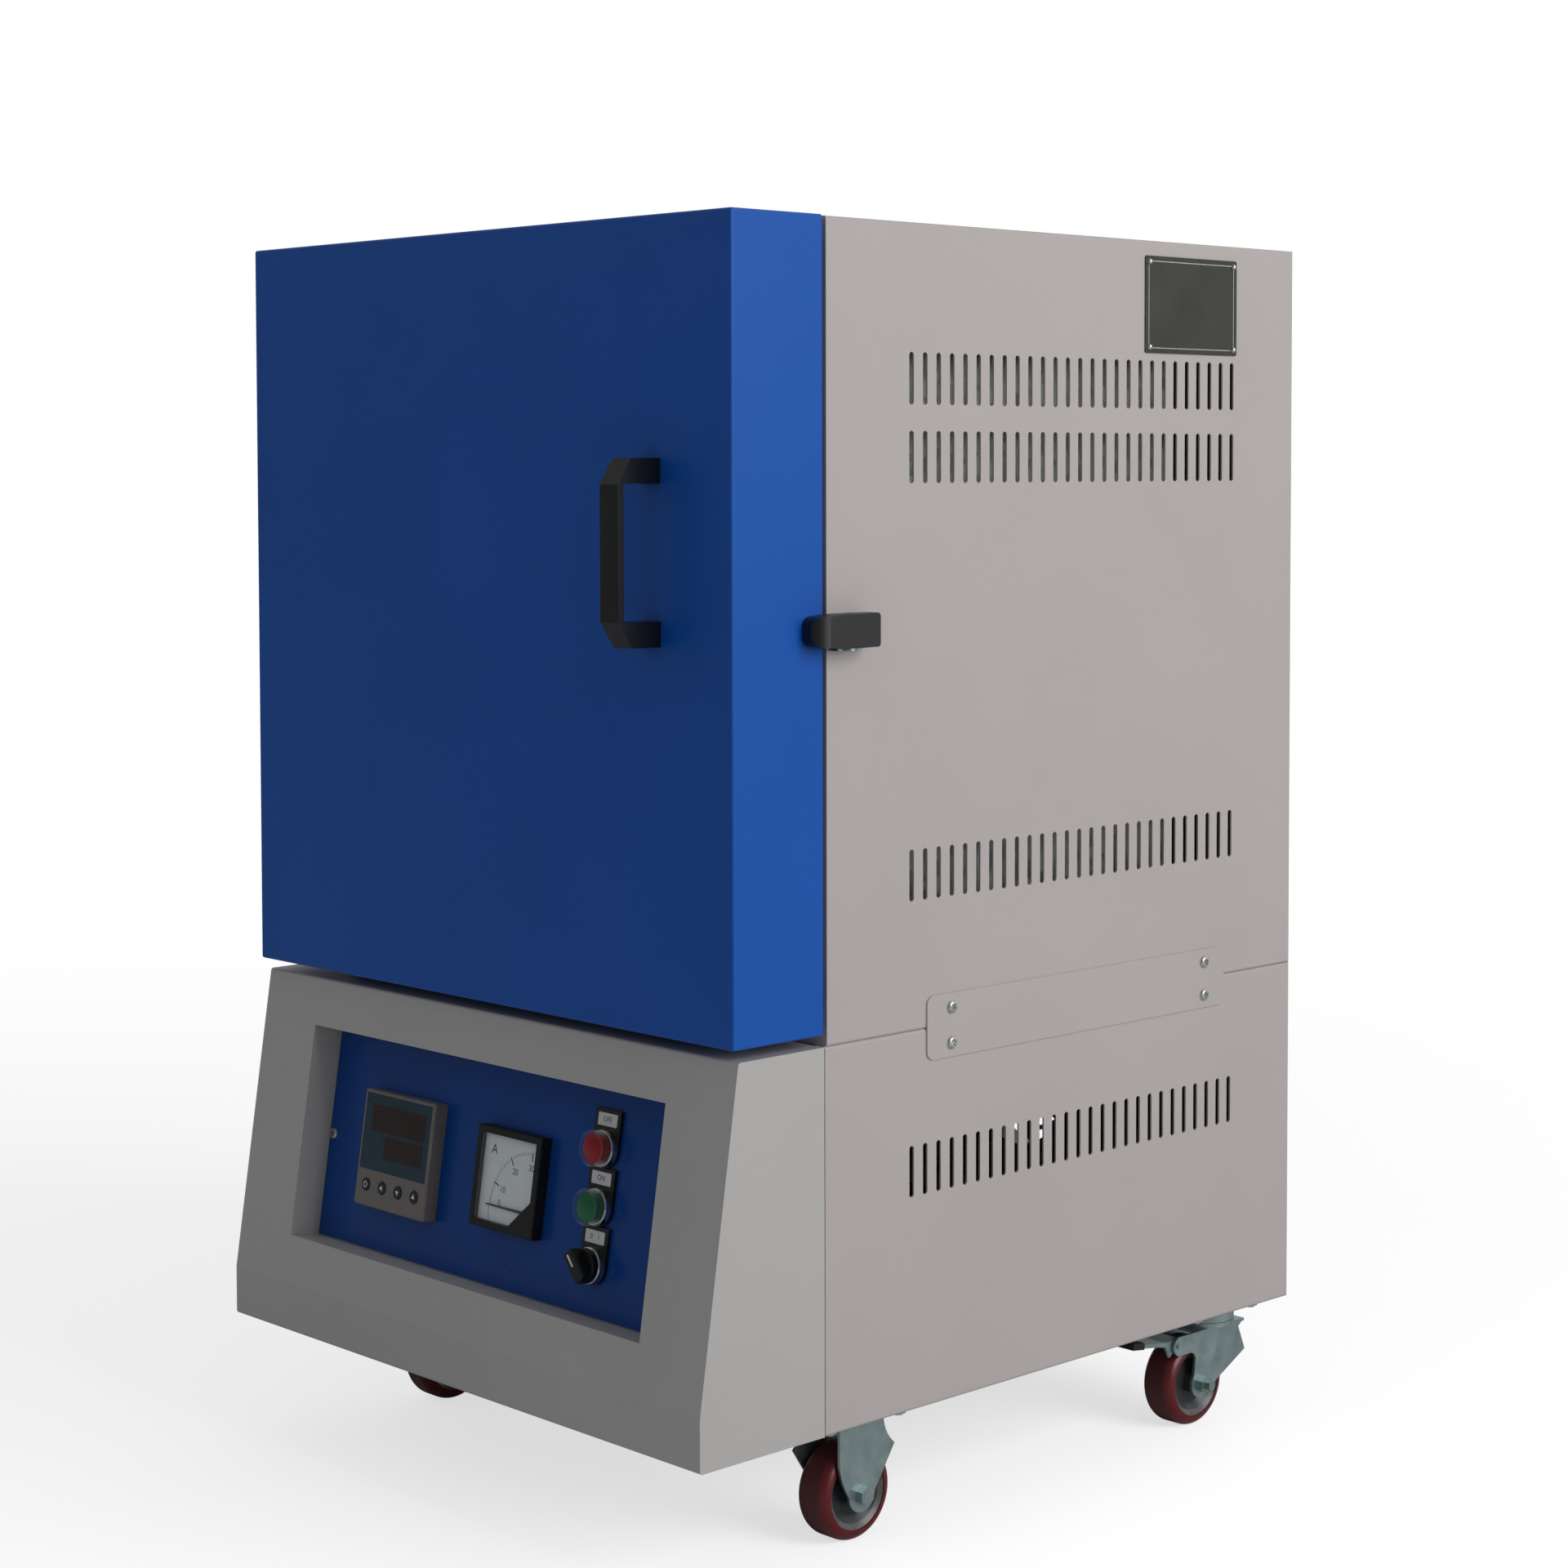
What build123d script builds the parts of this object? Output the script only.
from build123d import *
import math
import os

# A box muffle furnace on casters: an insulated upper cabinet with a side-hung door,
# standing on a lower cabinet that holds the power parts behind a sloping console.
# X runs to the right as the user faces the door, Y to the back, Z up. Millimetres.
# The origin is on the floor, under the middle of the whole furnace.

# Cabinet
body_width = 600.0
body_depth = 566.0
upper_height = 620.0
lower_height = 296.0
ground_clearance = 103.0
sheet = 1.5
flange = 12.0
bend_radius = 2.5
lower_lead = 2.0
rear_panel_margin = 6.0

# Door
door_overlap = 3.0
door_top_lap = 0.5
door_thickness = 91.0
door_gap = 7.0
door_lift = 9.5
door_return = 24.0
door_corner_radius = 2.0

# How far the fittings stand out of the box
handle_standoff = 41.0
side_reach = 22.0
gland_reach = 20.0

# Heating chamber: its size is what the cabinet leaves inside the lining and the air gaps
lining = 148.0
side_air_gap = 39.0
level_air_gap = 60.5
rear_air_gap = 115.0
board_joint = 0.4
mouth_margin = 50.0
plug_margin = 40.0
plug_side_gap = 6.0
plug_depth = 28.0
plug_face_gap = 0.5
hearth_thickness = 10.0
hearth_setback = 40.0
hearth_end_gap = 10.0
support_width = 50.0

# Heating elements: U-shaped rods hung from the roof along both side walls
element_rows = 3
element_spacing = 90.0
element_span = 40.0
element_hot_radius = 3.0
element_cold_radius = 6.0
element_wall_gap = 16.0
element_floor_gap = 45.0
element_rise = 36.0
element_hole_gap = 0.4

# Thermocouple
probe_radius = 4.0
probe_reach = 25.0
probe_tail = 30.0
probe_head_radius = 22.0
probe_head_length = 34.0

# Vent slots: one row is the same on every panel
slot_width = 5.0
slot_height = 40.0
slot_corner = 1.5
slot_pitch = 15.0
slot_start = 91.0
slot_end = 85.0
upper_slot_drops = (118.5, 178.5)
upper_slot_rise = 120.5
lower_slot_drop = 109.0

# Console
console_top_depth = 88.0
console_foot_depth = 127.0
console_foot_height = 41.0
recess_width = 452.0
recess_height = 178.0
recess_drop = 40.0
recess_depth = 28.0
recess_lip = 10.0
panel_thickness = 2.0
panel_edge_gap = 1.0
console_gap = 0.8
console_lap = 20.0

# Instruments on the panel, placed from the middle of the recess
instrument_drop = 2.0
controller_x = -116.0
controller_rise = -1.5
controller_size = 96.0
controller_proud = 13.0
controller_body = 91.0
controller_length = 80.0
window_size = (90.0, 63.0)
window_rise = 14.0
window_thickness = 1.2
key_radius = 5.2
key_pitch = 22.0
key_drop = 30.0
key_gap = 0.3
key_height = 2.2
key_travel = 0.8
ammeter_x = 28.0
ammeter_size = 80.0
ammeter_proud = 11.0
ammeter_rim = 5.5
ammeter_dial_depth = 5.0
ammeter_back_radius = 32.0
ammeter_back_length = 42.0
needle_length = 50.0
needle_pivot = (26.0, -21.5)
buttons_x = 135.0
button_pitch = 45.0
button_drop = 2.0
collar_radius = 14.5
collar_height = 5.5
cap_radius = 11.8
cap_height = 14.0
cap_dome = 1.6
cap_skirt = 2.0
cap_travel = 2.5
cap_gap = 0.3
barrel_radius = 11.0
barrel_length = 42.0
legend_width = 30.0
legend_rise = 30.0
legend_thickness = 3.0
knob_radius = 13.5
knob_base = 5.0
knob_height = 9.0
knob_grip = 12.0
knob_turn = 45.0

# Handle
handle_pitch = 120.0
handle_length = 140.0
handle_width = 20.5
handle_bar = 5.5
handle_leg = 19.0
handle_edge_gap = 78.0
handle_rise = 56.0

# Door hinges
hinge_height = 80.0
hinge_inset = 100.0
hinge_barrel_radius = 8.0
hinge_pin_radius = 4.0
hinge_leaf = 3.0
hinge_leaf_length = 46.0
hinge_fit = 0.05
knuckle_gap = 0.4

# Latch
latch_drop = 2.5
latch_front = 28.5
latch_back = 38.0
latch_height = 25.7
latch_thickness = 15.5
latch_pad_step = 2.5
latch_pad_start = 12.0
latch_nose_height = 18.0
latch_nose_thickness = 9.0
nose_clearance = 1.2
latch_edge_radius = 0.7
latch_pin_radius = 3.0
latch_pin_out = 10.0
latch_pin_back = 14.0
latch_plate = 2.0
latch_fit = 0.05

# Joining plates between the two cabinets
joint_height = 50.0
joint_start = 107.0
joint_end = 94.0
joint_thickness = 1.5
joint_radius = 7.0
screw_pitch = 28.0
screw_inset = 27.0
screw_head_radius = 5.0
screw_head_height = 2.6

# Nameplate
plate_size = (120.0, 80.0)
plate_thickness = 1.0
plate_end = 80.0
plate_drop = 52.5

# Casters
wheel_radius = 38.1
wheel_width = 32.0
wheel_shoulder = 9.0
hub_radius = 29.0
hub_recess = 7.0
hub_boss_radius = 10.0
hub_overhang = 1.0
caster_inset = 46.0
front_axle = 62.0
rear_axle_inset = 89.0
rear_trail = 28.0
fork_sheet = 2.5
fork_side_gap = 2.0
axle_radius = 4.0
axle_fit = 0.05
axle_hex_radius = 7.5
axle_nut = 6.5
axle_end = 6.0
caster_plate = (64.0, 92.0, 2.5)
caster_hole_pitch = (45.0, 75.0)
caster_hole_radius = 4.2
caster_bolt_radius = 4.0
caster_bolt_head = 5.0
caster_bolt_nut = 6.5
caster_bolt_end = 2.0
race_radius = 27.0
race_gap = 0.4
crown_height = 84.0
kingpin_radius = 6.0
kingpin_nut = 5.0
fixed_leg_half = 24.0
fixed_leg_foot = 14.0
fixed_leg_bend = 25.0
fixed_leg_wing = (36.0, 33.0)
swivel_leg_back = (61.0, 18.5)
swivel_leg_waist = (52.0, 6.0)
crown_back = 60.0
crown_front = 4.0
arm_low = 29.5
brake_pivot = (-30.0, 38.5)
brake_pin_radius = 2.5
brake_reach = 57.0

# Power parts and rear fittings
base_thickness = 3.0
core_size = (150.0, 75.0, 125.0)
coil_size = (46.0, 115.0, 85.0)
transformer_x = -100.0
transformer_foot = (190.0, 20.0, 4.0)
transformer_share = 0.6
regulator_x = 140.0
regulator_share = 0.55
regulator_size = (130.0, 90.0, 110.0)
fin_count = 9
fin_thickness = 2.0
fin_depth = 40.0
fan_size = 120.0
fan_depth = 25.0
fan_bore_radius = 56.0
fan_hub_radius = 19.0
fan_blade_gap = 2.0
fan_blade_count = 7
gland_bore_radius = 8.0
gland_thread_radius = 12.0
gland_flats_radius = 16.0
gland_nut_height = 5.0
gland_x = -190.0
gland_rise = 60.0

# Levels worked out from the sizes above
overall_depth = (handle_standoff + door_thickness + door_gap + body_depth + sheet + gland_reach)
half_width = body_width / 2
door_width = body_width + 2 * door_overlap
door_height = upper_height - door_lift + door_top_lap
chamber_width = body_width - 2 * (2 * sheet + side_air_gap + lining)
chamber_height = upper_height - 2 * (sheet + level_air_gap + lining)
chamber_depth = body_depth - 2 * sheet - rear_air_gap - lining
slot_count = int((body_depth - slot_start - slot_end) / slot_pitch) + 1
joint_length = body_depth - joint_start - joint_end
rear_axle = body_depth - rear_axle_inset
door_front = handle_standoff - overall_depth / 2
door_back = door_front + door_thickness
body_front = door_back + door_gap
body_back = body_front + body_depth
lower_front = body_front - lower_lead
body_bottom = ground_clearance
seam = body_bottom + lower_height
body_top = seam + upper_height
door_bottom = seam + door_lift
door_middle = door_bottom + door_height / 2
chamber_middle = (seam + body_top) / 2
lining_front = body_front + sheet
chamber_back = lining_front + chamber_depth
lining_back = chamber_back + lining
casing_half_width = chamber_width / 2 + lining + sheet
casing_bottom = chamber_middle - chamber_height / 2 - lining - sheet
casing_top = chamber_middle + chamber_height / 2 + lining + sheet
mouth_half_width = chamber_width / 2 + mouth_margin
mouth_half_height = chamber_height / 2 + mouth_margin


def block(x, y, z):
    """A box between the low and high value on each axis."""
    size = (x[1] - x[0], y[1] - y[0], z[1] - z[0])
    return Pos((x[0] + x[1]) / 2, (y[0] + y[1]) / 2, (z[0] + z[1]) / 2) * Box(*size)


def rod(start, direction, radius, length):
    """A round bar from a start point along a direction."""
    return Plane(origin=start, z_dir=direction) * Cylinder(
        radius, length, align=(Align.CENTER, Align.CENTER, Align.MIN)
    )


def both_sides(right):
    """The right-hand piece and its mirror image on the left."""
    return Part() + [right, mirror(right, Plane.YZ)]


def group(pieces):
    """Several pieces of one kind, kept as separate solids."""
    return Compound(children=[solid for piece in pieces for solid in piece.solids()])


def vent_slot():
    """One punched slot with clipped corners."""
    w = slot_width / 2
    h = slot_height / 2
    c = slot_corner
    return Polygon(
        (w, c - h), (w, h - c), (w - c, h), (c - w, h),
        (-w, h - c), (-w, c - h), (c - w, -h), (w - c, -h),
        align=None,
    )


def vent_row(height):
    """A row of slots through the right-hand side panel, centred at a height."""
    middle = body_front + slot_start + slot_pitch * (slot_count - 1) / 2
    slots = [spot * vent_slot() for spot in GridLocations(slot_pitch, 0, slot_count, 1)]
    face = Plane.YZ * Pos(middle, height, 0) * Sketch(slots)
    return extrude(Pos(half_width - 2 * sheet, 0, 0) * face, 4 * sheet)


# Upper cabinet


def side_panel(front, low, high, relief, slot_heights):
    """The right-hand panel: folded in at the top, bottom and rear, with vents."""
    inner = half_width - sheet
    panel = block((half_width - flange, half_width), (front, body_back), (low, high))
    bends = panel.edges().filter_by(Axis.Y).group_by(Axis.X)[-1]
    bends += panel.edges().filter_by(Axis.Z).group_by(Axis.X)[-1].sort_by(Axis.Y)[-1:]
    panel = fillet(bends, bend_radius)
    panel -= block((0, inner), (front - 1, body_back - sheet), (low + sheet, high - sheet))
    panel -= block((0, inner), (front - 1, front + relief), (low - 1, high + 1))
    for height in slot_heights:
        panel -= vent_row(height)
    return panel


upper_slots = [body_top - drop for drop in upper_slot_drops] + [seam + upper_slot_rise]
upper_right_panel = side_panel(body_front, seam, body_top, sheet, upper_slots)
upper_left_panel = mirror(upper_right_panel, Plane.YZ)
side_inner = half_width - sheet


def front_frame_plate():
    """The sheet round the chamber mouth, turned back at its sides and at the mouth."""
    plate = block((-side_inner, side_inner), (body_front, body_front + sheet), (seam, body_top))
    wings = block(
        (-side_inner, side_inner),
        (body_front, body_front + flange),
        (seam + 3 * sheet, body_top - flange - 2 * sheet),
    )
    hollow = side_inner - sheet
    wings -= block((-hollow, hollow), (body_front, body_back), (seam, body_top))
    mouth = block(
        (-mouth_half_width, mouth_half_width),
        (body_front - 1, body_front + 2 * sheet),
        (chamber_middle - mouth_half_height, chamber_middle + mouth_half_height),
    )
    return plate + wings - mouth


def cover_sheet():
    """The top cover: its edges lie under the side flanges, its middle steps up flush with them."""
    top = body_top - sheet
    y = (body_front + sheet, body_back - sheet)
    tray = block((-side_inner, side_inner), y, (top - flange, top))
    field = half_width - flange - panel_edge_gap
    tray += block((-field, field), y, (top, body_top))
    inside = (y[0] + sheet, y[1] - sheet)
    tray -= block((-body_width, body_width), inside, (0, top - sheet))
    return tray - block((sheet - field, field - sheet), inside, (0, top))


def upper_base():
    """The floor of the upper cabinet, with two hat channels for the inner casing."""
    floor_low = seam + sheet
    y = (body_front + sheet, body_back - sheet)
    pan = block((-side_inner, side_inner), y, (floor_low, floor_low + sheet))
    channel_y = (body_front + flange, lining_back)
    for x in (-casing_half_width / 2, casing_half_width / 2):
        channel = block(
            (x - support_width / 2, x + support_width / 2),
            channel_y,
            (floor_low, casing_bottom),
        )
        hollow = support_width / 2 - sheet
        channel -= block((x - hollow, x + hollow), (body_front, body_back), (0, casing_bottom - sheet))
        pan += channel
    return pan


def rear_sheet(low, high):
    """A flat rear cover laid on the rear flanges."""
    x = half_width - rear_panel_margin
    plate = block(
        (-x, x),
        (body_back, body_back + sheet),
        (low + rear_panel_margin, high - rear_panel_margin),
    )
    return fillet(plate.edges().filter_by(Axis.Y), 2 * bend_radius)


front_frame = front_frame_plate()
top_cover = cover_sheet()
upper_base_pan = upper_base()
upper_rear_panel = rear_sheet(seam, body_top)

# Inner casing and the fibre boards that line it


def casing():
    """The open-fronted steel box round the lining."""
    front = body_front + sheet
    shell = block(
        (-casing_half_width, casing_half_width),
        (front, lining_back + sheet),
        (casing_bottom, casing_top),
    )
    hollow = casing_half_width - sheet
    return shell - block(
        (-hollow, hollow), (front - 1, lining_back), (casing_bottom + sheet, casing_top - sheet)
    )


def element_spots():
    """Where the legs of each element pass through the roof, pair by pair."""
    x = chamber_width / 2 - element_wall_gap
    middle = (lining_front + chamber_back) / 2
    for side in (-x, x):
        for row in range(element_rows):
            y = middle + (row - (element_rows - 1) / 2) * element_spacing
            yield (side, y - element_span / 2), (side, y + element_span / 2)


def element_holes(gap, low, high):
    """Clear holes for the elements' cold ends between two heights."""
    radius = element_cold_radius + gap
    return [
        rod((x, y, low), (0, 0, 1), radius, high - low)
        for pair in element_spots()
        for x, y in pair
    ]


board_half = casing_half_width - sheet - board_joint
chamber_half = chamber_width / 2
chamber_low = chamber_middle - chamber_height / 2
chamber_high = chamber_middle + chamber_height / 2
floor_board = block(
    (-board_half, board_half),
    (lining_front, chamber_back - board_joint),
    (casing_bottom + sheet, chamber_low),
)
roof_board = block(
    (-board_half, board_half),
    (lining_front, chamber_back - board_joint),
    (chamber_high, casing_top - sheet),
)
roof_board -= element_holes(element_hole_gap, chamber_high - 1, casing_top)
side_board = block(
    (chamber_half, board_half),
    (lining_front, chamber_back - board_joint),
    (chamber_low + board_joint, chamber_high - board_joint),
)
side_boards = both_sides(side_board)
probe_hole = rod((0, chamber_back - 1, chamber_middle), (0, 1, 0), probe_radius + board_joint, body_depth)
back_board = block(
    (-board_half, board_half),
    (chamber_back, lining_back),
    (casing_bottom + sheet, casing_top - sheet),
)
back_board -= probe_hole
inner_casing = casing() - element_holes(2 * element_hole_gap, casing_top - 2 * sheet, casing_top + 1)
inner_casing -= probe_hole
hearth_half = chamber_half - 2 * element_wall_gap
hearth_plate = block(
    (-hearth_half, hearth_half),
    (lining_front + hearth_setback, chamber_back - hearth_end_gap),
    (chamber_low, chamber_low + hearth_thickness),
)


def heating_element(front_leg, back_leg):
    """One U-shaped rod: thick cold ends through the roof, a thin hot bend below."""
    x, front = front_leg
    back = back_leg[1]
    turn = element_span / 2
    bend_height = chamber_low + element_floor_gap + turn
    path = Polyline((x, front, chamber_high), (x, front, bend_height))
    path += ThreePointArc(
        (x, front, bend_height),
        (x, (front + back) / 2, bend_height - turn),
        (x, back, bend_height),
    )
    path += Line((x, back, bend_height), (x, back, chamber_high))
    hot = sweep(Plane(origin=path @ 0, z_dir=path % 0) * Circle(element_hot_radius), path=path)
    length = casing_top + element_rise - chamber_high
    for y in (front, back):
        hot += rod((x, y, chamber_high), (0, 0, 1), element_cold_radius, length)
    return hot


heating_elements = group([heating_element(a, b) for a, b in element_spots()])


def probe():
    """The thermocouple: a closed ceramic tube with its connection head behind."""
    start = (0, chamber_back - probe_reach, chamber_middle)
    tube_length = probe_reach + lining + sheet + probe_tail
    tube = rod(start, (0, 1, 0), probe_radius, tube_length)
    tube = fillet(tube.edges().group_by(Axis.Y)[0], probe_radius * 0.9)
    head_start = (0, chamber_back - probe_reach + tube_length, chamber_middle)
    head = rod(head_start, (0, 1, 0), probe_head_radius, probe_head_length)
    flange_start = (0, lining_back + sheet, chamber_middle)
    return tube + head + rod(flange_start, (0, 1, 0), 2 * probe_radius, probe_radius)


thermocouple = probe()

# Lower cabinet

lower_right_panel = side_panel(lower_front, body_bottom, seam, 0, [seam - lower_slot_drop])
lower_left_panel = mirror(lower_right_panel, Plane.YZ)
base_low = body_bottom + sheet
caster_x = half_width - caster_inset


def caster_bolt_spots():
    """Where the bolts of all four casters pass through the base plate."""
    for y in (body_front + front_axle, body_front + rear_axle + rear_trail):
        for x in (-caster_x, caster_x):
            for spot in GridLocations(*caster_hole_pitch, 2, 2):
                yield x + spot.position.X, y + spot.position.Y


base_plate = block(
    (-side_inner, side_inner),
    (lower_front - console_lap, body_back - sheet),
    (base_low, base_low + base_thickness),
)
base_plate -= [
    rod((x, y, base_low - 1), (0, 0, 1), caster_hole_radius, base_thickness + 2)
    for x, y in caster_bolt_spots()
]


def fan_grille(fan_height):
    """Ring-shaped cuts that leave a grille of rings and spokes."""
    cuts = Sketch()
    for ring in range(4):
        outer = fan_bore_radius * (ring + 1) / 4
        inner = outer - fan_bore_radius / 4 + 3 * sheet
        cuts += Circle(outer) - Circle(inner)
    spoke = Rectangle(2 * fan_bore_radius, 3 * sheet)
    cuts -= Rot(0, 0, 45) * spoke + Rot(0, 0, -45) * spoke
    face = Plane(origin=(0, body_back - sheet, fan_height), z_dir=(0, 1, 0)) * cuts
    return extrude(face, 3 * sheet)


fan_height = (body_bottom + seam) / 2
gland_height = body_bottom + gland_rise
lower_rear_panel = rear_sheet(body_bottom, seam) - fan_grille(fan_height)
lower_rear_panel -= rod(
    (gland_x, body_back - sheet, gland_height), (0, 1, 0), gland_thread_radius + cap_gap, 3 * sheet
)

# Console: a folded shell with a recessed control panel on its slope

console_back = lower_front - console_gap
console_top = lower_front - console_top_depth
console_foot = lower_front - console_foot_depth
slope_run = console_foot_depth - console_top_depth
slope_height = lower_height - console_foot_height
slope_angle = math.atan2(slope_run, slope_height)
slope_normal = (0, -math.cos(slope_angle), math.sin(slope_angle))
slope = Plane(origin=(0, console_top, seam), x_dir=(1, 0, 0), z_dir=slope_normal)
recess_centre = recess_drop + recess_height / 2
panel_centre = recess_centre + instrument_drop


def on_slope(x, drop, depth=0.0):
    """A place on the console's slope: across, down from its top edge, and below it."""
    return slope * Pos(x, -drop, -depth)


def on_panel(x, rise=0.0, proud=0.0):
    """A place on the control panel: across and up from the instruments' line."""
    return on_slope(x, panel_centre - rise, recess_depth - proud)


def console_prism(wall):
    """The console's side outline, drawn in by a wall, across the cabinet."""
    turn = math.tan(slope_angle / 2) * wall
    lean = math.tan(math.pi / 4 - slope_angle / 2) * wall
    outline = Polygon(
        (console_back, body_bottom + wall),
        (console_foot + wall, body_bottom + wall),
        (console_foot + wall, body_bottom + console_foot_height - turn),
        (console_top + lean, seam - wall),
        (console_back, seam - wall),
        align=None,
    )
    return extrude(Plane.YZ * outline, half_width - wall, both=True)


def console_shell():
    """The folded shell, open at the back, with the recess set into its slope."""
    outer = console_prism(0)
    outer = fillet(outer.edges().filter_by(Axis.X).group_by(Axis.Y)[:-1], bend_radius)
    shell = outer - console_prism(sheet)
    spot = on_slope(0, recess_centre)
    low = recess_depth + panel_thickness
    tub = Box(recess_width + 2 * sheet, recess_height + 2 * sheet, low + sheet, align=align_top)
    shell += spot * tub
    shell -= spot * Pos(0, 0, 1) * Box(recess_width, recess_height, low + 1, align=align_top)
    opening = (recess_width - 2 * recess_lip, recess_height - 2 * recess_lip)
    return shell - spot * Box(*opening, 2 * low, align=align_top)


align_top = (Align.CENTER, Align.CENTER, Align.MAX)
align_bottom = (Align.CENTER, Align.CENTER, Align.MIN)
button_rises = [step * button_pitch - button_drop for step in (1, 0, -1)]
console_fascia = console_shell()
panel_size = (recess_width - 2 * panel_edge_gap, recess_height - 2 * panel_edge_gap)
control_panel = on_slope(0, recess_centre, recess_depth) * Box(*panel_size, panel_thickness, align=align_top)
through = 3 * panel_thickness
control_panel -= on_panel(controller_x, controller_rise, panel_thickness) * Box(
    controller_body + 1, controller_body + 1, through, align=align_top
)
control_panel -= on_panel(ammeter_x, 0, panel_thickness) * Cylinder(
    ammeter_back_radius + 0.5, through, align=align_top
)
for rise in button_rises:
    control_panel -= on_panel(buttons_x, rise, panel_thickness) * Cylinder(
        barrel_radius + cap_gap, through, align=align_top
    )


# Temperature controller


def controller_housing():
    """A square bezel with a window seat and four key holes, on a deep square body."""
    bezel = Box(controller_size, controller_size, controller_proud, align=align_bottom)
    bezel = fillet(bezel.edges().filter_by(Axis.Z), 2)
    bezel = chamfer(bezel.faces().sort_by(Axis.Z)[-1].edges(), 1.2)
    bezel += Box(controller_body, controller_body, controller_length, align=align_top)
    seat = Pos(0, window_rise, controller_proud) * Box(*window_size, 2 * window_thickness)
    bezel -= seat
    for x in key_spots():
        bezel -= Pos(x, -key_drop, controller_proud) * Cylinder(
            key_radius + key_gap, 2 * (key_height - key_travel / 2 + key_travel)
        )
    return on_panel(controller_x, controller_rise) * bezel


def key_spots():
    """The keys' places across the controller's front."""
    return [(column - 1.5) * key_pitch for column in range(4)]


def controller_key(x):
    """One round key, standing a little out of the bezel."""
    key = Cylinder(key_radius, key_height, align=align_bottom)
    key = fillet(key.edges().group_by(Axis.Z)[-1], 0.6)
    bottom = controller_proud - key_height + key_travel + 0.2
    return on_panel(controller_x + x, controller_rise - key_drop, bottom) * key


controller_case = controller_housing()
window_place = on_panel(controller_x, controller_rise + window_rise, controller_proud - window_thickness)
controller_window = window_place * Box(
    window_size[0] - 0.2, window_size[1] - 0.2, window_thickness, align=align_bottom
)
key_names = ("key_set", "key_shift", "key_down", "key_up")
controller_keys = [controller_key(x) for x in key_spots()]

# Ammeter


def meter_housing():
    """A square frame with a dial behind a five-sided window, and a round back."""
    half = ammeter_size / 2
    frame = Box(ammeter_size, ammeter_size, ammeter_proud, align=align_bottom)
    frame = chamfer(frame.faces().sort_by(Axis.Z)[-1].edges(), 1.0)
    inner = half - ammeter_rim
    window = Polygon(
        (-inner, -inner), (inner - 25, -inner), (inner, -inner + 23),
        (inner, inner), (-inner, inner),
        align=None,
    )
    frame -= extrude(Pos(0, 0, ammeter_proud - ammeter_dial_depth) * window, ammeter_dial_depth + 1)
    # The cut corner covers the needle's bearing, so the dial's space runs in under it.
    bearing = Pos(*needle_pivot, ammeter_proud - ammeter_dial_depth) * Cylinder(
        7.5, ammeter_dial_depth - 1.5, align=align_bottom
    )
    frame -= bearing
    frame += Pos(*needle_pivot, ammeter_proud - ammeter_dial_depth - 1) * Cylinder(
        1.0, 1 + ammeter_dial_depth - 2.0, align=align_bottom
    )
    frame += Cylinder(ammeter_back_radius, ammeter_back_length, align=align_top)
    return on_panel(ammeter_x) * frame


def meter_needle():
    """A thin tapered pointer at zero, on a small boss round its pivot."""
    pointer = Polygon((0, -1.2), (0, 1.2), (-needle_length, 0.5), (-needle_length, -0.5), align=None)
    boss = Circle(3.0)
    needle = extrude(pointer + boss, 0.8) - Cylinder(1.05, 4)
    return on_panel(ammeter_x + needle_pivot[0], needle_pivot[1], ammeter_proud - 3.6) * needle


ammeter_case = meter_housing()
ammeter_needle = meter_needle()

# Push buttons and selector


def legend_plate(rise):
    """A plate under one control: square at the top, round below."""
    half = legend_width / 2
    outline = Pos(0, legend_rise / 2) * Rectangle(legend_width, legend_rise) + Circle(half)
    outline -= Circle(barrel_radius + cap_gap)
    return on_panel(buttons_x, rise) * extrude(outline, legend_thickness)


def control_collar(rise):
    """A turned collar in front of the legend plate, with its barrel behind the panel."""
    profile = Cylinder(collar_radius, collar_height, align=align_bottom)
    profile = fillet(profile.edges().group_by(Axis.Z)[-1], 1.5)
    collar = Pos(0, 0, legend_thickness) * profile
    collar += Pos(0, 0, legend_thickness) * Cylinder(
        barrel_radius, legend_thickness + barrel_length, align=align_top
    )
    nut = extrude(RegularPolygon(barrel_radius + 4, 6), -4)
    collar += Pos(0, 0, -panel_thickness) * nut
    bore_bottom = legend_thickness + collar_height - cap_skirt - cap_travel
    collar -= Pos(0, 0, bore_bottom) * Cylinder(
        cap_radius + cap_gap, cap_skirt + cap_travel + 1, align=align_bottom
    )
    return on_panel(buttons_x, rise) * collar


def button_cap(rise):
    """A round cap with a domed face, guided in its collar."""
    low = legend_thickness + collar_height - cap_skirt
    height = legend_thickness + cap_height - low
    edge = height - cap_dome
    dome_radius = (cap_radius**2 + cap_dome**2) / (2 * cap_dome)
    halfway = height - dome_radius + math.sqrt(dome_radius**2 - cap_radius**2 / 4)
    profile = make_face(
        Polyline((0, height), (0, 0), (cap_radius, 0), (cap_radius, edge))
        + ThreePointArc((cap_radius, edge), (cap_radius / 2, halfway), (0, height))
    )
    rim = profile.vertices().group_by(Axis.X)[-1].sort_by(Axis.Y)[-1]
    cap = revolve(Plane.XZ * fillet(rim, 0.8), Axis.Z)
    return on_panel(buttons_x, rise, low) * cap


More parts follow.
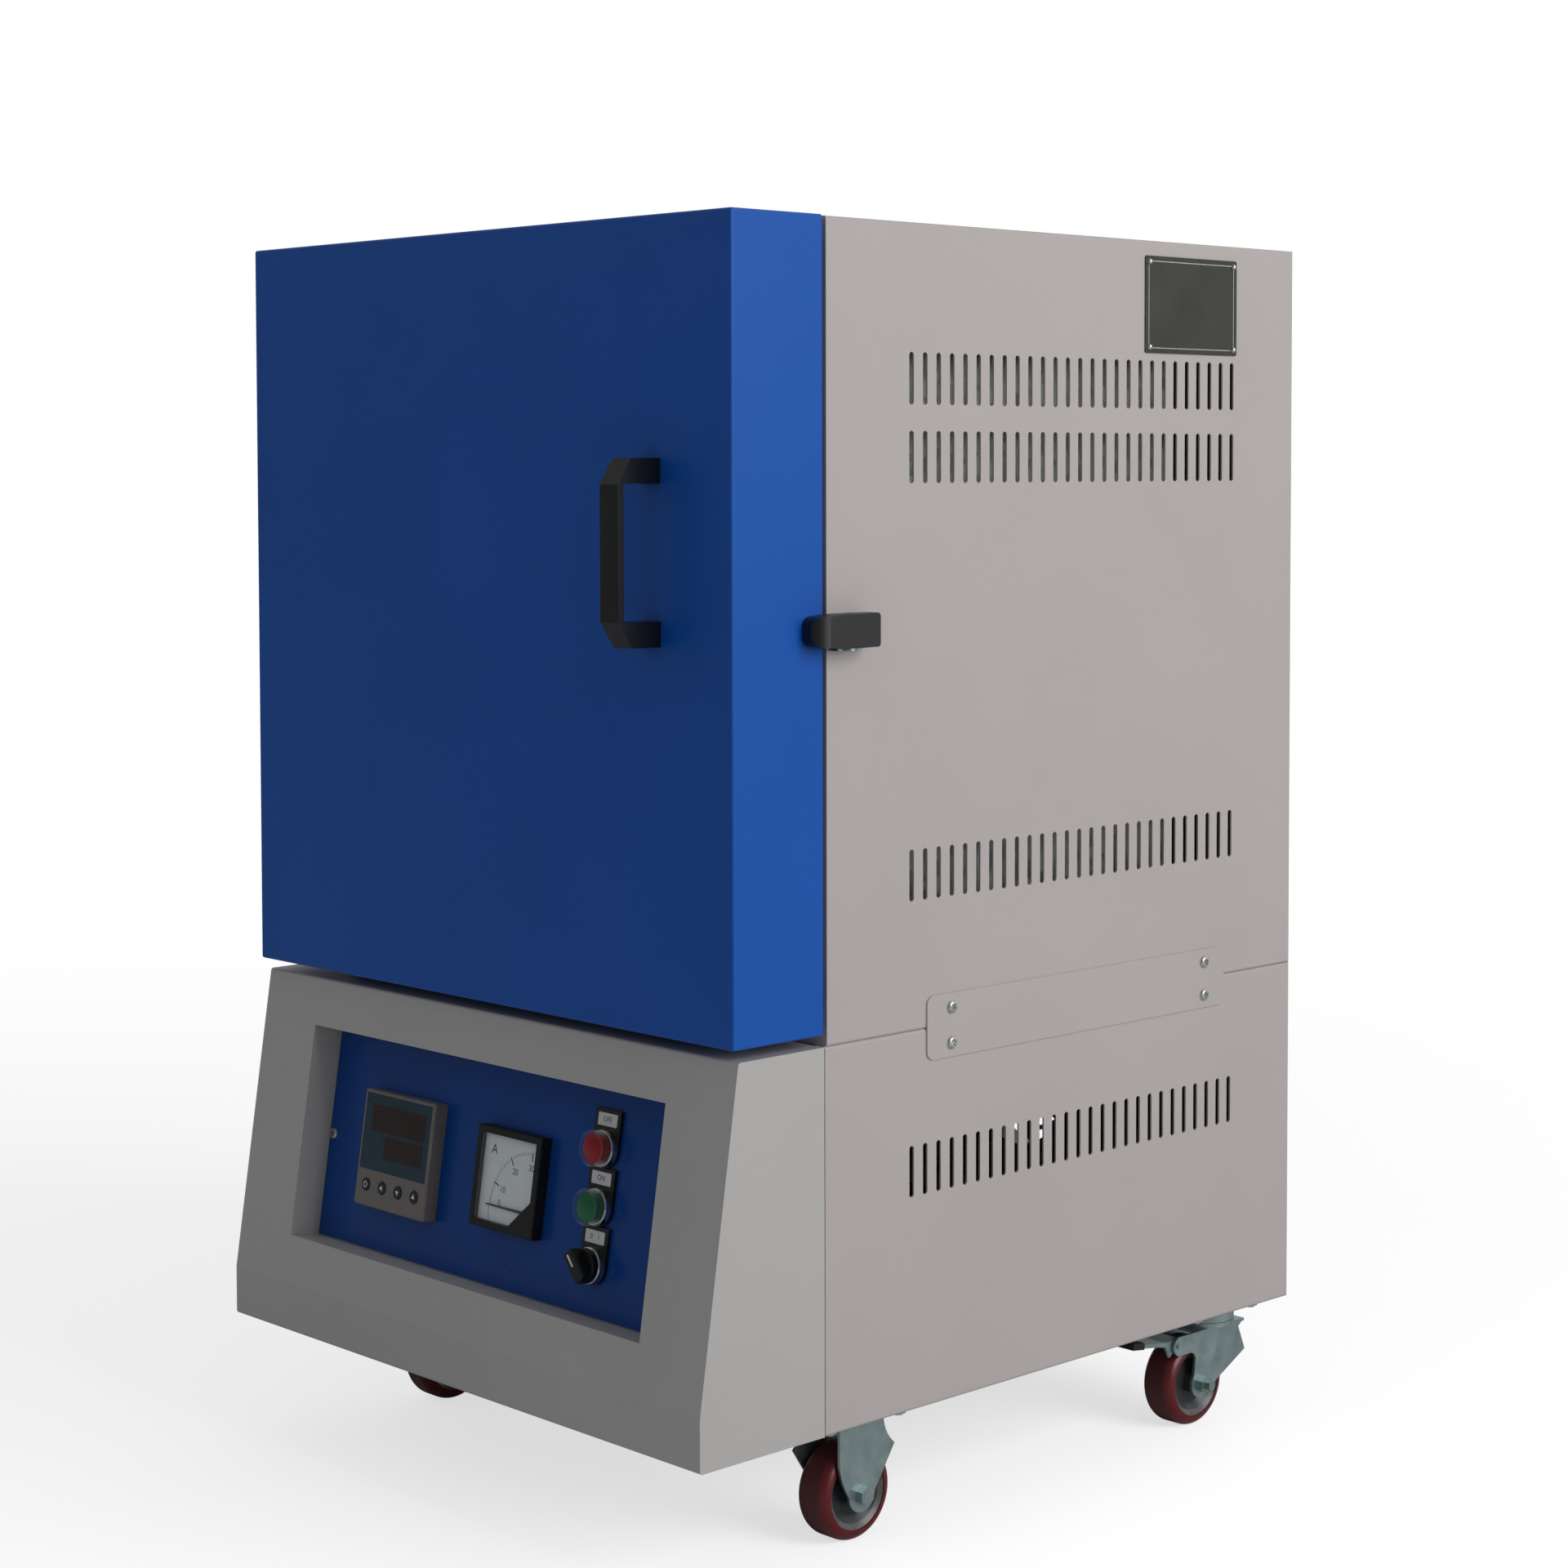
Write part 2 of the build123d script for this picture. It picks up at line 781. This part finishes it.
def selector():
    """A turned base with a grip bar across it, pointing up and to the left."""
    base = Cylinder(knob_radius, knob_base, align=align_bottom)
    base = fillet(base.edges().group_by(Axis.Z)[-1], 1.2)
    grip = Pos(0, 0, knob_base) * Box(knob_grip, 2 * knob_radius, knob_height, align=align_bottom)
    grip = chamfer(grip.edges().group_by(Axis.Z)[-1], 1.5)
    stem = Cylinder(cap_radius, cap_skirt, align=align_top)
    knob = base + (grip & Cylinder(knob_radius, 4 * knob_height)) + stem
    spot = on_panel(buttons_x, button_rises[2], legend_thickness + collar_height + cap_gap)
    return spot * Rot(0, 0, knob_turn) * knob


legend_plates = group([legend_plate(rise) for rise in button_rises])
switch_collars = group([control_collar(rise) for rise in button_rises])
stop_button = button_cap(button_rises[0])
start_button = button_cap(button_rises[1])
selector_knob = selector()

# Door


def door_pan():
    """The outer pan: front, four sides and a return round the back."""
    x = door_width / 2
    pan = block((-x, x), (door_front, door_back), (door_bottom, door_bottom + door_height))
    front = pan.faces().sort_by(Axis.Y)[0]
    pan = fillet(list(front.edges()) + list(pan.edges().filter_by(Axis.Y)), door_corner_radius)
    inner = x - sheet
    low = door_bottom + sheet
    high = door_bottom + door_height - sheet
    pan -= block((-inner, inner), (door_front + sheet, door_back - sheet), (low, high))
    opening = x - door_return
    return pan - block(
        (-opening, opening),
        (door_front + sheet, door_back + 1),
        (door_bottom + door_return, door_bottom + door_height - door_return),
    )


plug_half_width = mouth_half_width - mouth_margin + plug_margin
plug_half_height = mouth_half_height - mouth_margin + plug_margin


def door_lining():
    """The fibre block in the door and the stepped plug that enters the mouth."""
    front = door_front + sheet
    back = door_back - 2 * sheet
    core = block(
        (-plug_half_width - lining / 2, plug_half_width + lining / 2),
        (front, back),
        (chamber_middle - plug_half_height - lining / 2, chamber_middle + plug_half_height + lining / 2),
    )
    face = block(
        (-plug_half_width, plug_half_width),
        (back, lining_front - plug_face_gap),
        (chamber_middle - plug_half_height, chamber_middle + plug_half_height),
    )
    tip_x = chamber_half - plug_side_gap
    tip_z = chamber_height / 2 - plug_side_gap
    tip = block(
        (-tip_x, tip_x),
        (back, lining_front + plug_depth),
        (chamber_middle - tip_z, chamber_middle + tip_z),
    )
    tip = chamfer(tip.faces().sort_by(Axis.Y)[-1].edges(), plug_side_gap)
    return core + face + tip


door_shell = door_pan()
door_insulation = door_lining()
back_half = door_width / 2 - sheet
door_back_plate = block(
    (-back_half, back_half),
    (door_back - 2 * sheet, door_back - sheet),
    (door_bottom + sheet, door_bottom + door_height - sheet),
)
door_back_plate -= block(
    (-plug_half_width - 1, plug_half_width + 1),
    (door_front, door_back),
    (chamber_middle - plug_half_height - 1, chamber_middle + plug_half_height + 1),
)


def bridge_handle():
    """A U-shaped handle: thick legs, chamfered corners and a thin flat bar."""
    half = handle_length / 2
    out = handle_standoff
    bend = out - half + handle_pitch / 2 - handle_bar / 2
    side = Polygon(
        (0, half), (-bend, half), (-out, half - handle_leg), (-out, handle_leg - half),
        (-bend, -half), (0, -half), (0, handle_leg - half),
        (handle_bar - out, handle_leg - half), (handle_bar - out, half - handle_leg),
        (0, half - handle_leg),
        align=None,
    )
    bar = extrude(Plane.YZ * side, handle_width / 2, both=True)
    bar = fillet(bar.edges().filter_by(Axis.X).group_by(Axis.Y)[:2], 2.0)
    x = door_width / 2 - handle_edge_gap - handle_width / 2
    return Pos(x, door_front, door_middle + handle_rise) * bar


door_handle = bridge_handle()

# Hinges

hinge_x = -half_width - side_reach + hinge_barrel_radius
hinge_y = body_front - door_gap / 2
hinge_heights = (door_bottom + hinge_inset, door_bottom + door_height - hinge_inset - hinge_height)


def frame_leaf(low):
    """The cabinet's half: leaf, lower knuckle and the pin that stands in it."""
    knuckle = hinge_height / 2
    leaf = block(
        (-half_width - hinge_leaf, -half_width),
        (hinge_y, hinge_y + hinge_leaf_length),
        (low, low + hinge_height),
    )
    root_x = (hinge_x, -half_width - hinge_leaf)
    root = block(root_x, (hinge_y, hinge_y + hinge_barrel_radius), (low, low + knuckle))
    barrel = rod((hinge_x, hinge_y, low), (0, 0, 1), hinge_barrel_radius, knuckle)
    pin = rod((hinge_x, hinge_y, low), (0, 0, 1), hinge_pin_radius, hinge_height - 2)
    return leaf + root + barrel + pin


def door_leaf(low):
    """The door's half: a leaf on the door's side and the upper knuckle."""
    start = low + hinge_height / 2 + knuckle_gap
    high = low + hinge_height
    face = -door_width / 2
    leaf = block((face - hinge_leaf, face), (door_back - hinge_leaf_length, door_back - 1), (low, high))
    root_y = (hinge_y - hinge_barrel_radius, hinge_y - hinge_pin_radius)
    root = block((hinge_x, face), root_y, (start, high))
    barrel = rod((hinge_x, hinge_y, start), (0, 0, 1), hinge_barrel_radius, high - start)
    bore = rod((hinge_x, hinge_y, low), (0, 0, 1), hinge_pin_radius + hinge_fit, hinge_height + 1)
    return leaf + root + barrel - bore


hinge_frame_leaves = group([frame_leaf(low) for low in hinge_heights])
hinge_door_leaves = group([door_leaf(low) for low in hinge_heights])

# Latch on the right-hand side: its nose lies over the door's edge

latch_height_mid = door_middle - latch_drop
latch_pin_x = half_width + latch_pin_out
latch_pin_y = body_front + latch_pin_back


def latch_base():
    """A folded bracket with two ears and the pin pressed into them."""
    ear_low = -latch_height / 2 - latch_plate - cap_gap
    ear_high = latch_height / 2 - 3 * latch_plate
    y = (body_front + 2, body_front + 2 * latch_pin_back)
    plate = block((half_width, half_width + latch_plate), y, (ear_low, ear_high))
    ears = plate
    for low in (ear_low, ear_high - latch_plate):
        ear = block((half_width, latch_pin_x), y, (low, low + latch_plate))
        ears += ear + rod((latch_pin_x, latch_pin_y, low), (0, 0, 1), 2 * latch_pin_radius, latch_plate)
    pin = rod((latch_pin_x, latch_pin_y, ear_low), (0, 0, 1), latch_pin_radius, ear_high - ear_low)
    return Pos(0, 0, latch_height_mid) * (ears + pin)


def latch_handle():
    """A moulded lever: a rounded nose over the door and a thumb pad behind."""
    half = latch_height / 2
    nose = latch_nose_height / 2
    front = -latch_front
    blend = front + latch_nose_thickness
    side = make_face(
        Polyline((latch_back, -half), (latch_back, half), (0, half))
        + ThreePointArc((0, half), (front / 2, half - 0.8), (blend, nose + 2.5))
        + ThreePointArc((blend, nose + 2.5), (front + 2.5, nose), (front, nose - 4))
        + Line((front, nose - 4), (front, 4 - nose))
        + ThreePointArc((front, 4 - nose), (front + 2.5, -nose), (blend, -nose - 2.5))
        + ThreePointArc((blend, -nose - 2.5), (front / 2, 0.8 - half), (0, -half))
        + Line((0, -half), (latch_back, -half))
    )
    side = fillet(side.vertices().group_by(Axis.X)[-1], 3.0)
    body = extrude(Plane.YZ * side, side_reach)
    inner = side_reach - latch_thickness
    nose_inner = door_overlap + nose_clearance
    nose_outer = nose_inner + latch_nose_thickness
    plan = make_face(
        Polyline((inner, latch_back), (inner, -3), (nose_inner, -12))
        + Polyline((nose_inner, -12), (nose_inner, front), (nose_outer, front))
        + ThreePointArc((nose_outer, front), (side_reach - 3, front + 5), (side_reach, -10))
        + Polyline((side_reach, -10), (side_reach, latch_back), (inner, latch_back))
    )
    body &= extrude(Pos(0, 0, -side_reach) * plan, 2 * side_reach)
    rim = body.edges().filter_by(Plane.YZ).group_by(Axis.X)[-1]
    body = fillet(rim, latch_edge_radius)
    pad = Rectangle(60, 60, align=(Align.MIN, Align.CENTER)) + Circle(latch_height / 2)
    middle = latch_pad_start + latch_height / 2
    cut = Pos(side_reach - latch_pad_step, middle, 0) * Rot(0, 90, 0) * Rot(0, 0, 90)
    body -= cut * extrude(pad, 2 * latch_pad_step)
    return body


def latch_moulding():
    """The lever with room for the bracket's ears and a bore for its pin."""
    body = Pos(half_width, body_front, 0) * latch_handle()
    boss = latch_pin_radius + latch_plate
    body += rod((latch_pin_x, latch_pin_y, -latch_height / 2), (0, 0, 1), boss, latch_height)
    ear_high = latch_height / 2 - 3 * latch_plate
    reach = latch_pin_x + 2 * latch_pin_radius + latch_plate
    room = (body_front - latch_plate, body_front + 2 * (latch_pin_back + latch_plate))
    slot = (ear_high - latch_plate - cap_gap, ear_high + cap_gap)
    body -= block((half_width, reach), room, slot)
    body -= rod(
        (latch_pin_x, latch_pin_y, -latch_height), (0, 0, 1), latch_pin_radius + latch_fit, 2 * latch_height
    )
    return Pos(0, 0, latch_height_mid) * body


latch_bracket = latch_base()
latch_lever = latch_moulding()

# Joining plates, screws and nameplate


def joining_plate():
    """The plate that ties the two cabinets together on the right-hand side."""
    middle = body_front + joint_start + joint_length / 2
    outline = RectangleRounded(joint_length, joint_height, joint_radius)
    return extrude(Plane.YZ * Pos(middle, seam, half_width) * outline, joint_thickness)


def pan_screw(place):
    """A pan-head screw with its shank run into the sheet."""
    head = Cylinder(screw_head_radius, screw_head_height, align=align_bottom)
    head = fillet(head.edges().group_by(Axis.Z)[-1], screw_head_height * 0.8)
    return place * head


def side_screw_places():
    """The four screws of the right-hand joining plate."""
    for along in (screw_inset, joint_length - screw_inset):
        for rise in (-screw_pitch / 2, screw_pitch / 2):
            y = body_front + joint_start + along
            yield Plane(origin=(half_width + joint_thickness, y, seam + rise), z_dir=(1, 0, 0))


def rear_screw_places():
    """Six screws down the edges of each rear panel."""
    x = half_width - rear_panel_margin - flange / 2
    for low, high in ((body_bottom, seam), (seam, body_top)):
        for side in (-x, x):
            for share in (0.1, 0.5, 0.9):
                height = low + (high - low) * share
                yield Plane(origin=(side, body_back + sheet, height), z_dir=(0, 1, 0))


def panel_screw_places():
    """One screw at each end of the control panel."""
    for side in (-1, 1):
        x = side * (recess_width / 2 - panel_edge_gap - screw_head_radius - 1)
        yield on_panel(x)


right_plate = joining_plate()
joining_plates = both_sides(right_plate)
right_screws = [pan_screw(place) for place in side_screw_places()]
left_screws = [mirror(screw, Plane.YZ) for screw in right_screws]
other_screws = [pan_screw(place) for place in rear_screw_places()]
other_screws += [pan_screw(place) for place in panel_screw_places()]
cabinet_screws = group(right_screws + left_screws + other_screws)
plate_y = body_back - plate_end - plate_size[0] / 2
plate_outline = RectangleRounded(*plate_size, 2)
plate_place = Plane.YZ * Pos(plate_y, body_top - plate_drop, half_width)
nameplate = extrude(plate_place * plate_outline, plate_thickness)

# Casters


def wheel(x, y):
    """A moulded tread on a dished hub, with a clear bore for its axle."""
    half = wheel_width / 2
    tread = Pos(0, hub_radius) * Rectangle(
        wheel_width, wheel_radius - hub_radius, align=(Align.CENTER, Align.MIN)
    )
    tread = fillet(tread.vertices().group_by(Axis.Y)[-1], wheel_shoulder)
    dish = half - hub_recess
    web = hub_radius - hub_boss_radius
    quarter = Polyline(
        (0, axle_radius + axle_fit),
        (half + hub_overhang, axle_radius + axle_fit),
        (half + hub_overhang, hub_boss_radius - 1),
        (dish, hub_boss_radius),
        (dish - 1, hub_radius - web / 2),
        (half - 3, hub_radius - web / 5),
        (half - 1, hub_radius),
        (0, hub_radius),
        (0, axle_radius + axle_fit),
    )
    hub = make_face(quarter)
    hub += mirror(hub, Plane.YZ)
    spin = Axis((0, 0, 0), (1, 0, 0))
    return Pos(x, y, wheel_radius) * group([revolve(tread, spin), revolve(hub, spin)])


def axle_bolt(nut_side):
    """The axle: a bolt through both legs, its head on one side and its nut on the other."""
    reach = leg_outer + axle_nut + axle_end
    bolt = rod((-leg_outer, 0, 0), (1, 0, 0), axle_radius, leg_outer + reach)
    for start in (-leg_outer - axle_nut, leg_outer):
        face = Plane(origin=(start, 0, 0), z_dir=(1, 0, 0)) * RegularPolygon(axle_hex_radius, 6)
        bolt += extrude(face, axle_nut)
    return Rot(0, 0, 0 if nut_side > 0 else 180) * bolt


leg_inner = wheel_width / 2 + fork_side_gap
leg_outer = leg_inner + fork_sheet
plate_low = base_low - caster_plate[2]


def front_leg():
    """The right-hand leg of a fixed caster: a straight front edge and a winged rear."""
    top = plate_low - wheel_radius
    half = fixed_leg_half
    foot = fixed_leg_foot
    bend = fixed_leg_bend
    wing_y, wing_z = fixed_leg_wing
    outline = make_face(
        Polyline((-half, top), (-half, bend))
        + ThreePointArc((-half, bend), (-half * 0.85, bend * 0.48), (-foot, 0))
        + ThreePointArc((-foot, 0), (0, -foot), (foot, 0))
        + Line((foot, 0), (wing_y, wing_z))
        + ThreePointArc((wing_y, wing_z), (half * 1.15, wing_z * 1.3), (half, top))
        + Line((half, top), (-half, top))
    )
    return extrude(Plane.YZ * Pos(0, 0, leg_inner) * outline, fork_sheet)


def caster_top_plate():
    """The plate bolted under the base, with its four bolt holes."""
    plate = Box(*caster_plate, align=align_bottom)
    plate = fillet(plate.edges().filter_by(Axis.Z), 5)
    holes = [spot * Cylinder(caster_hole_radius, 20) for spot in GridLocations(*caster_hole_pitch, 2, 2)]
    return plate - holes


def fixed_fork(x):
    """A fixed caster's bracket: each leg is the other one turned half round."""
    fork = Pos(0, 0, plate_low - wheel_radius) * caster_top_plate()
    fork += front_leg() + Rot(0, 0, 180) * front_leg()
    fork += axle_bolt(-1)
    return Pos(x, body_front + front_axle, wheel_radius) * fork


def swivel_plate(x):
    """The fixed half of a braked caster: plate, upper race and kingpin."""
    y = body_front + rear_axle + rear_trail
    plate = Pos(x, y, plate_low) * caster_top_plate()
    race_low = crown_height + race_gap + 4
    plate += rod((x, y, race_low), (0, 0, 1), race_radius, plate_low - race_low)
    pin_low = crown_height - fork_sheet - race_gap - kingpin_nut
    plate += rod((x, y, pin_low), (0, 0, 1), kingpin_radius, plate_low - pin_low)
    nut = RegularPolygon(kingpin_radius + 4, 6)
    plate += extrude(Pos(x, y, pin_low) * nut, kingpin_nut)
    return plate


def braked_leg():
    """The right-hand leg of the swivel fork, with the arm that carries the pedal."""
    top = crown_height - wheel_radius
    arm_y, arm_z = brake_pivot
    waist_y, waist_drop = swivel_leg_waist
    foot = fixed_leg_foot
    outline = make_face(
        Polyline(swivel_leg_back, (waist_y, top - waist_drop), (crown_back, top), (arm_y, top))
        + ThreePointArc((arm_y, top), (arm_y - waist_drop, arm_z), (arm_y, arm_low))
        + Line((arm_y, arm_low), (-foot, arm_low))
        + ThreePointArc((-foot, arm_low), (-foot * 0.65, arm_low * 0.93), (-foot / 2, arm_low * 0.76))
        + Line((-foot / 2, arm_low * 0.76), (-foot * 0.64, foot * 0.57))
        + ThreePointArc((-foot * 0.64, foot * 0.57), (-foot * 0.43, -foot * 0.75), (foot * 0.71, -foot / 2))
        + Line((foot * 0.71, -foot / 2), swivel_leg_back)
    )
    return extrude(Plane.YZ * Pos(0, 0, leg_inner) * outline, fork_sheet)


def swivel_fork(x):
    """A braked caster's turning fork: two legs, crown, lower race and axle."""
    arm_y = brake_pivot[0]
    top = crown_height - wheel_radius
    fork = both_sides(braked_leg())
    fork += block((-leg_outer, leg_outer), (-crown_front, crown_back), (top - fork_sheet, top))
    fork += Pos(0, rear_trail, top) * Cylinder(race_radius, 4, align=align_bottom)
    fork -= Pos(0, rear_trail, top) * Cylinder(kingpin_radius + axle_fit, 40)
    fork += axle_bolt(1 if x > 0 else -1)
    pin = rod((-leg_outer - 1.5, arm_y, brake_pivot[1]), (1, 0, 0), brake_pin_radius, 2 * leg_outer + 3)
    return Pos(x, body_front + rear_axle, wheel_radius) * (fork + pin)


def brake_pedal(x):
    """A pressed pedal on the fork's pin, with a toothed shoe over the tread."""
    arm_y, arm_z = brake_pivot
    wide = leg_inner - 0.5
    toe = -brake_reach
    side = make_face(
        Polyline((6, -4), (6, 5), (-14, 5), (toe, 11), (toe - 1, 8), (-14, 1.5), (-9, -9), (-5, -6), (6, -4))
    )
    pedal = extrude(Plane.YZ * side, wide, both=True)
    hollow = wide - fork_sheet
    pedal -= block((-hollow, hollow), (-13, 7), (-12, 5 - fork_sheet))
    bore = rod((-wide - 1, 0, 0), (1, 0, 0), brake_pin_radius + axle_fit, 2 * wide + 2)
    return Pos(x, body_front + rear_axle + arm_y, wheel_radius + arm_z) * (pedal - bore)


front_wheels = {
    "front_left_wheel": wheel(-caster_x, body_front + front_axle),
    "front_right_wheel": wheel(caster_x, body_front + front_axle),
}
rear_wheels = {
    "rear_left_wheel": wheel(-caster_x, body_front + rear_axle),
    "rear_right_wheel": wheel(caster_x, body_front + rear_axle),
}
front_caster_forks = group([fixed_fork(-caster_x), fixed_fork(caster_x)])
rear_caster_plates = group([swivel_plate(-caster_x), swivel_plate(caster_x)])
rear_forks = {
    "rear_left_fork": swivel_fork(-caster_x),
    "rear_right_fork": swivel_fork(caster_x),
}
brake_pedals = {
    "left_brake_pedal": brake_pedal(-caster_x),
    "right_brake_pedal": brake_pedal(caster_x),
}

# Power parts on the base, fan and cable gland

base_top = base_low + base_thickness


def caster_bolt(x, y):
    """A hexagon bolt down through the base and the caster's plate, with its nut below."""
    bolt_hex = RegularPolygon(caster_bolt_radius + 3.5, 6)
    low = plate_low - caster_bolt_nut - caster_bolt_end
    bolt = rod((x, y, low), (0, 0, 1), caster_bolt_radius, base_top - low)
    bolt += extrude(Pos(x, y, base_top) * bolt_hex, caster_bolt_head)
    return bolt + extrude(Pos(x, y, plate_low - caster_bolt_nut) * bolt_hex, caster_bolt_nut)


caster_bolts = group([caster_bolt(x, y) for x, y in caster_bolt_spots()])


def step_down_transformer():
    """A laminated core with two coils, on two feet."""
    core_x, core_y, core_z = core_size
    coil_x, coil_y, coil_z = coil_size
    middle_y = body_front + body_depth * transformer_share
    core = Box(core_x, core_y, core_z, align=align_bottom)
    gap = (core_z - coil_z) / 2
    window_x = core_x / 2 - gap
    core -= Pos(0, 0, gap) * Box(2 * window_x, core_y + 1, coil_z, align=align_bottom)
    leg = coil_x * 0.6
    core += Pos(0, 0, gap) * Box(leg, core_y, coil_z, align=align_bottom)
    coil = Box(coil_x * 1.8, coil_y, coil_z - 1, align=align_bottom)
    coil = fillet(coil.edges().filter_by(Axis.Z), 15)
    foot = Box(*transformer_foot, align=align_bottom)
    foot_y = (core_y - transformer_foot[1]) / 2
    feet = Pos(0, foot_y, 0) * foot + Pos(0, -foot_y, 0) * foot
    built = Pos(0, 0, transformer_foot[2]) * (core + Pos(0, 0, gap + 0.5) * coil)
    return Pos(transformer_x, middle_y, base_top) * (built + feet)


def regulator():
    """The power regulator: a closed block on an aluminium heat sink."""
    width, depth, height = regulator_size
    sink = Box(width, depth - fin_depth, height, align=align_bottom)
    pitch = (width - fin_thickness) / (fin_count - 1)
    for spot in GridLocations(pitch, 0, fin_count, 1):
        fin = Box(fin_thickness, fin_depth, height, align=align_bottom)
        sink += spot * Pos(0, (depth - fin_depth) / 2 + fin_depth / 2, 0) * fin
    return Pos(regulator_x, body_front + body_depth * regulator_share, base_top) * sink


def fan_housing():
    """A square axial-fan frame with a round duct and a spider for its hub."""
    frame = Box(fan_size, fan_size, fan_depth, align=align_bottom)
    frame = fillet(frame.edges().filter_by(Axis.Z), 6)
    frame -= Cylinder(fan_bore_radius, 3 * fan_depth)
    spider = Rectangle(2 * fan_bore_radius + 2, 5) + Rot(0, 0, 90) * Rectangle(2 * fan_bore_radius + 2, 5)
    frame += extrude(spider + Circle(fan_hub_radius), 4)
    frame += Cylinder(3, fan_depth - 4, align=align_bottom)
    return fan_place() * frame


def fan_place():
    """The fan's frame of reference: its face is on the inside of the rear panel."""
    return Plane(origin=(0, body_back, fan_height), x_dir=(1, 0, 0), z_dir=(0, -1, 0))


def fan_blades():
    """A hub with twisted blades, turning on the frame's stub shaft."""
    low = 5.0
    high = fan_depth - 3
    hub = Pos(0, 0, low) * Cylinder(fan_hub_radius, high - low, align=align_bottom)
    hub -= Cylinder(3.05, 4 * fan_depth)
    tip = fan_bore_radius - fan_blade_gap
    sweep_angle = 24.0
    for index in range(fan_blade_count):
        blade = loft(
            [
                blade_section(fan_hub_radius - 2, 15.0, high - low - 2, 38.0),
                blade_section(tip, 26.0, high - low - 2, 22.0),
            ]
        )
        blade &= Cylinder(tip, 6 * fan_depth)
        turn = 360.0 * index / fan_blade_count + sweep_angle
        hub += Rot(0, 0, turn) * Pos(0, 0, (low + high) / 2) * blade
    return fan_place() * hub


def blade_section(radius, chord, height, pitch_angle):
    """A thin slanted section across a blade at one radius."""
    chord = min(chord, height / math.sin(math.radians(pitch_angle)))
    section = Rot(0, 0, pitch_angle) * Rectangle(chord, 1.6)
    return Plane(origin=(radius, 0, 0), x_dir=(0, 1, 0), z_dir=(1, 0, 0)) * section


def gland():
    """A cable gland: thread through the panel, a nut inside and a dome outside."""
    back = body_back + sheet
    body = Cylinder(gland_thread_radius, sheet + 2 * gland_nut_height, align=align_top)
    body += Pos(0, 0, -sheet - gland_nut_height) * extrude(
        RegularPolygon(gland_flats_radius, 6), gland_nut_height
    )
    body += extrude(RegularPolygon(gland_flats_radius, 6), gland_nut_height)
    dome = Pos(0, 0, gland_nut_height) * Cylinder(
        gland_flats_radius - 2.5, gland_reach - gland_nut_height, align=align_bottom
    )
    body += fillet(dome.edges().group_by(Axis.Z)[-1], 4)
    body -= Cylinder(gland_bore_radius, 6 * gland_reach)
    return Plane(origin=(gland_x, back, gland_height), z_dir=(0, 1, 0)) * body


transformer = step_down_transformer()
power_regulator = regulator()
fan_frame = fan_housing()
fan_rotor = fan_blades()
cable_gland = gland()

parts = {
    "upper_left_panel": upper_left_panel,
    "upper_right_panel": upper_right_panel,
    "top_cover": top_cover,
    "upper_rear_panel": upper_rear_panel,
    "front_frame": front_frame,
    "upper_base_pan": upper_base_pan,
    "inner_casing": inner_casing,
    "floor_board": floor_board,
    "roof_board": roof_board,
    "side_boards": side_boards,
    "back_board": back_board,
    "hearth_plate": hearth_plate,
    "heating_elements": heating_elements,
    "thermocouple": thermocouple,
    "lower_left_panel": lower_left_panel,
    "lower_right_panel": lower_right_panel,
    "lower_rear_panel": lower_rear_panel,
    "base_plate": base_plate,
    "console_fascia": console_fascia,
    "control_panel": control_panel,
    "controller_case": controller_case,
    "controller_window": controller_window,
    "ammeter_case": ammeter_case,
    "ammeter_needle": ammeter_needle,
    "legend_plates": legend_plates,
    "switch_collars": switch_collars,
    "stop_button": stop_button,
    "start_button": start_button,
    "selector_knob": selector_knob,
    "door_shell": door_shell,
    "door_back_plate": door_back_plate,
    "door_insulation": door_insulation,
    "door_handle": door_handle,
    "hinge_frame_leaves": hinge_frame_leaves,
    "hinge_door_leaves": hinge_door_leaves,
    "latch_bracket": latch_bracket,
    "latch_lever": latch_lever,
    "joining_plates": joining_plates,
    "cabinet_screws": cabinet_screws,
    "nameplate": nameplate,
    "front_caster_forks": front_caster_forks,
    "rear_caster_plates": rear_caster_plates,
    "caster_bolts": caster_bolts,
    "transformer": transformer,
    "power_regulator": power_regulator,
    "fan_frame": fan_frame,
    "fan_rotor": fan_rotor,
    "cable_gland": cable_gland,
    **dict(zip(key_names, controller_keys)),
    **front_wheels,
    **rear_wheels,
    **rear_forks,
    **brake_pedals,
}

os.makedirs("parts", exist_ok=True)
for name, part in parts.items():
    export_step(part, f"parts/{name}.step")
    print(name, len(part.solids()))
whole = Compound(children=[solid for part in parts.values() for solid in part.solids()])
print(len(parts), "nodes", whole.bounding_box())
